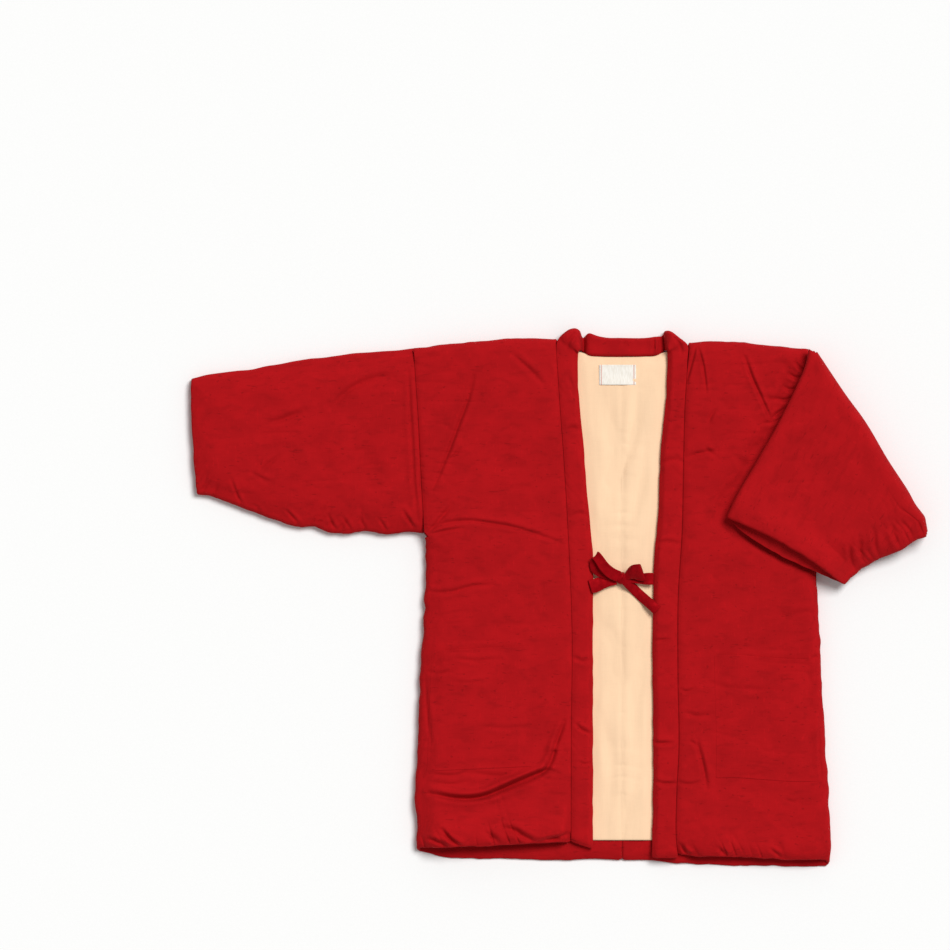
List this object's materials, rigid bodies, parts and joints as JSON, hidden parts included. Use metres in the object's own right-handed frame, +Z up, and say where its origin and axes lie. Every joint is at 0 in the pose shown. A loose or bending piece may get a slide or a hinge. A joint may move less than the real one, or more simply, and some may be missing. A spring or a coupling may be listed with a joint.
{
  "type": "padded hanten jacket laid flat",
  "caption": "Padded short jacket with wide sleeves, laid flat and face up, one sleeve folded over the front, collar band, bow tie in front and patch pockets.",
  "frame": {"origin": "middle of the base, on the surface that the jacket lies on", "axes": "+X to the viewer's right across the laid-out sleeves, +Y towards the neck, +Z up from the surface"},
  "size_m": [1.1054, 0.8059, 0.0479],
  "materials": {
    "padded_cotton": "matte slub-woven cotton in red over cotton wadding",
    "lining_cotton": "plain cream cotton",
    "satin_tie": "dark red satin",
    "label_weave": "white woven label, blank"
  },
  "bodies": {
    "root": {"body_right": "padded_cotton", "body_left": "padded_cotton", "sleeve_right": "padded_cotton", "sleeve_left": "padded_cotton", "collar": "padded_cotton", "pocket_right": "padded_cotton", "pocket_left": "padded_cotton", "lining_right": "lining_cotton", "lining_left": "lining_cotton", "tie_right_band": "satin_tie", "tie_right_loop": "satin_tie", "tie_left_band": "satin_tie", "tie_left_loop": "satin_tie", "tie_left_tail": "satin_tie", "bow_knot": "satin_tie", "label": "label_weave"}
  },
  "joints": []
}
